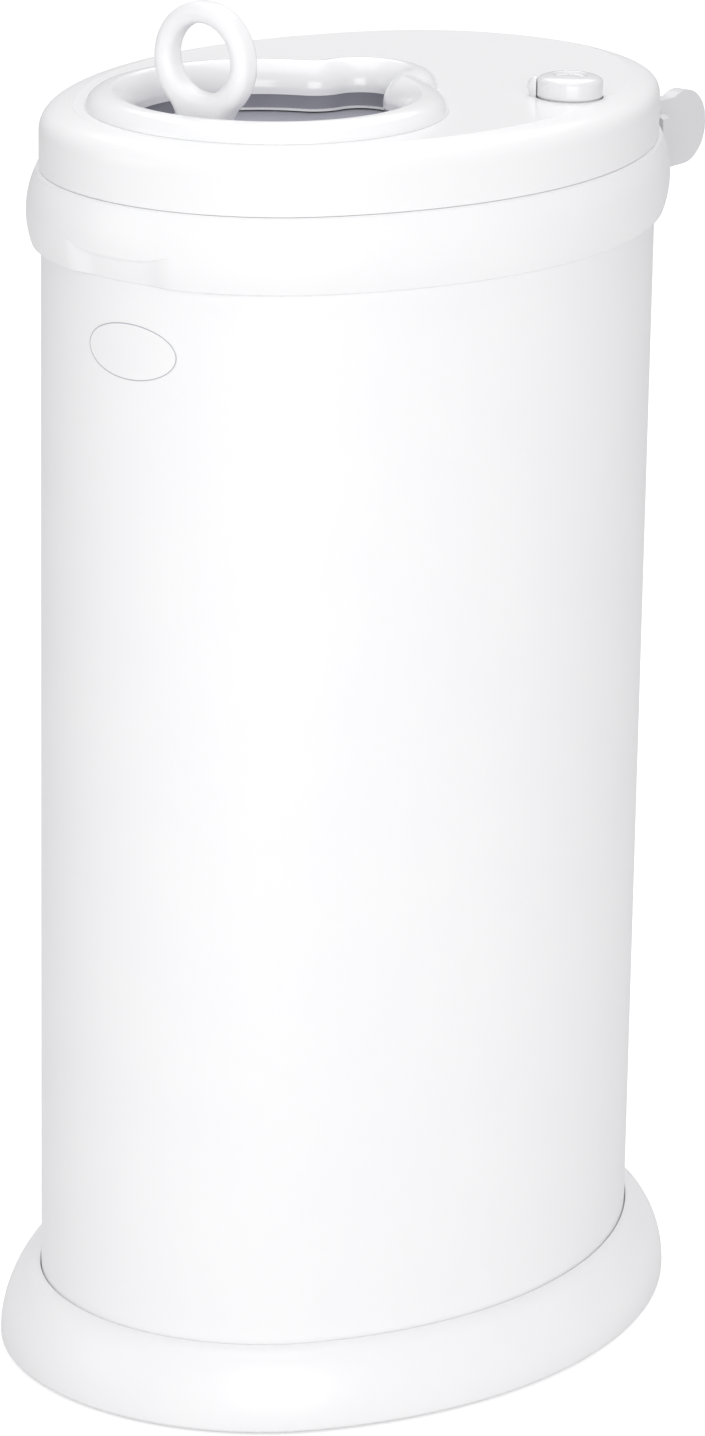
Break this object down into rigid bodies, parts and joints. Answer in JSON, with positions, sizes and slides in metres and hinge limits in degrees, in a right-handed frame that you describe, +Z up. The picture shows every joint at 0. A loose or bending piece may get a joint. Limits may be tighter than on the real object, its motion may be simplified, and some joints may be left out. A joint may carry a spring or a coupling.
{
  "type": "nappy bin",
  "caption": "White oval nappy bin with a hinged lid, a keyhole throat closed by a sliding cover with a ring handle, and a lock button.",
  "frame": {"origin": "on the floor, under the middle of the whole bin's footprint, hinge ears included", "axes": "+Z up, -Y to the front with the finger ledge and the ring, +Y to the rear with the hinge, +X to the side with the lock button"},
  "size_m": [0.25, 0.3324, 0.5687],
  "materials": {
    "white_plastic": "satin white moulding",
    "white_steel": "satin white powder coat",
    "grey_plastic": "matte grey moulding",
    "cover_plastic": "matte pale grey moulding",
    "rubber": "matte grey rubber",
    "screw_steel": "plain steel"
  },
  "bodies": {
    "bin": {"base_skirt": "white_plastic", "rubber_feet": "rubber", "floor_pan": "white_steel", "floor_screws": "screw_steel", "body_shell": "white_steel", "rim_band": "white_plastic", "rim_gasket": "rubber", "bag_ring": "grey_plastic", "hinge_ears": "white_plastic", "ear_screws": "screw_steel", "hinge_pin": "screw_steel"},
    "lid": {"lid_cover": "white_plastic", "hinge_arm": "white_plastic", "arm_screws": "screw_steel", "lid_tray": "white_plastic", "tray_screws": "screw_steel", "throat_ring": "white_plastic", "throat_seal": "rubber", "seal_retainer": "white_plastic", "left_rail": "grey_plastic", "right_rail": "grey_plastic", "rail_screws": "screw_steel", "lock_housing": "grey_plastic", "housing_screws": "screw_steel", "lock_spring": "screw_steel"},
    "slide_cover": {"cover_plate": "cover_plastic", "ring_handle": "white_plastic", "handle_screws": "screw_steel"},
    "lock": {"lock_button": "white_plastic", "lock_arm": "screw_steel"}
  },
  "joints": [
    {"name": "lid_hinge", "type": "hinge", "parent": "bin", "child": "lid", "pos_m": [0, 0.15075, 0.488], "axis": [-1, 0, 0], "range_deg": [0, 95]},
    {"name": "cover_slide", "type": "slide", "parent": "lid", "child": "slide_cover", "axis": [0, 1, 0], "range_m": [0, 0.1]},
    {"name": "lock_press", "type": "slide", "parent": "lid", "child": "lock", "axis": [0, 0, -1], "range_m": [0, 0.003], "stiffness_N_per_m": 600, "springref_m": -0.003, "deforming": ["lock_spring"]}
  ]
}
